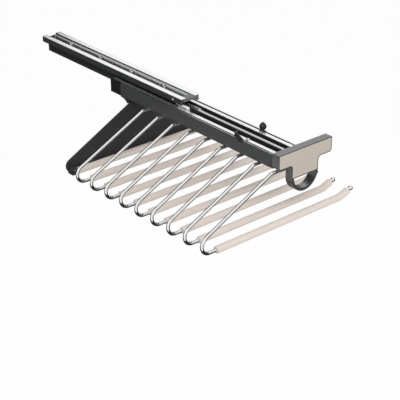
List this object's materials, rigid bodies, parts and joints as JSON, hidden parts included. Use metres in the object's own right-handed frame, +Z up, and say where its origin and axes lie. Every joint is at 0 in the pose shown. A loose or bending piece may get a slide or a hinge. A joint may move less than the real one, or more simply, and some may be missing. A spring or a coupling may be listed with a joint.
{
  "type": "pull out trouser rack",
  "caption": "Pull out trouser rack that hangs under a wardrobe shelf: a channel beam on a ball guided rail carries slanted wire arms with soft sleeves behind a T shaped front with a ring pull.",
  "frame": {"origin": "middle of the rail's mounting face, at the centre of its screw holes", "axes": "+X right, +Y back into the wardrobe, so the rack pulls out along -Y, +Z up"},
  "size_m": [0.3459, 0.683, 0.1499],
  "materials": {
    "rail_alu": "brushed natural anodised",
    "guide_steel": "black zinc",
    "nose_plastic": "matt",
    "zinc_steel": "bright zinc",
    "beam_grey": "fine textured powder coat",
    "runner_alu": "black grooves, bright ridges",
    "black_plastic": "matt",
    "ball_steel": "polished",
    "frame_grey": "fine matt moulding",
    "inlay_champagne": "brushed champagne",
    "arm_chrome": "bright chrome plate",
    "sleeve_beige": "soft matt"
  },
  "bodies": {
    "rail": {"mounting_rail": "rail_alu", "guide_channel": "guide_steel", "guide_nose": "nose_plastic", "rail_rivets": "zinc_steel"},
    "rack": {"arm_1": "arm_chrome", "arm_2": "arm_chrome", "arm_3": "arm_chrome", "arm_4": "arm_chrome", "arm_5": "arm_chrome", "arm_6": "arm_chrome", "arm_7": "arm_chrome", "arm_8": "arm_chrome", "arm_9": "arm_chrome", "beam": "beam_grey", "bumper": "black_plastic", "clamp_strip": "beam_grey", "end_cap": "black_plastic", "frame_screws": "zinc_steel", "front_frame": "frame_grey", "glide_post": "black_plastic", "inlay": "inlay_champagne", "panel_bar": "arm_chrome", "panel_screws": "zinc_steel", "rear_panel": "frame_grey", "runner_profile": "runner_alu", "sleeve_1": "sleeve_beige", "sleeve_10": "sleeve_beige", "sleeve_2": "sleeve_beige", "sleeve_3": "sleeve_beige", "sleeve_4": "sleeve_beige", "sleeve_5": "sleeve_beige", "sleeve_6": "sleeve_beige", "sleeve_7": "sleeve_beige", "sleeve_8": "sleeve_beige", "sleeve_9": "sleeve_beige", "stop_block": "black_plastic", "strip_screws": "zinc_steel", "tip_1": "arm_chrome", "tip_10": "arm_chrome", "tip_2": "arm_chrome", "tip_3": "arm_chrome", "tip_4": "arm_chrome", "tip_5": "arm_chrome", "tip_6": "arm_chrome", "tip_7": "arm_chrome", "tip_8": "arm_chrome", "tip_9": "arm_chrome"},
    "cage_left": {"ball_cage_left": "zinc_steel", "balls_left": "ball_steel"},
    "cage_right": {"ball_cage_right": "zinc_steel", "balls_right": "ball_steel"}
  },
  "joints": [
    {"name": "rack_slide", "type": "slide", "parent": "rail", "child": "rack", "axis": [0, 1, 0], "range_m": [0, 0.233]},
    {"name": "cage_left_roll", "type": "slide", "parent": "rail", "child": "cage_left", "axis": [0, 1, 0], "range_m": [0, 0.1165]},
    {"name": "cage_right_roll", "type": "slide", "parent": "rail", "child": "cage_right", "axis": [0, 1, 0], "range_m": [0, 0.1165]}
  ],
  "couplings": [
    {"joint": "cage_left_roll", "follows": "rack_slide", "ratio": 0.5},
    {"joint": "cage_right_roll", "follows": "rack_slide", "ratio": 0.5}
  ]
}
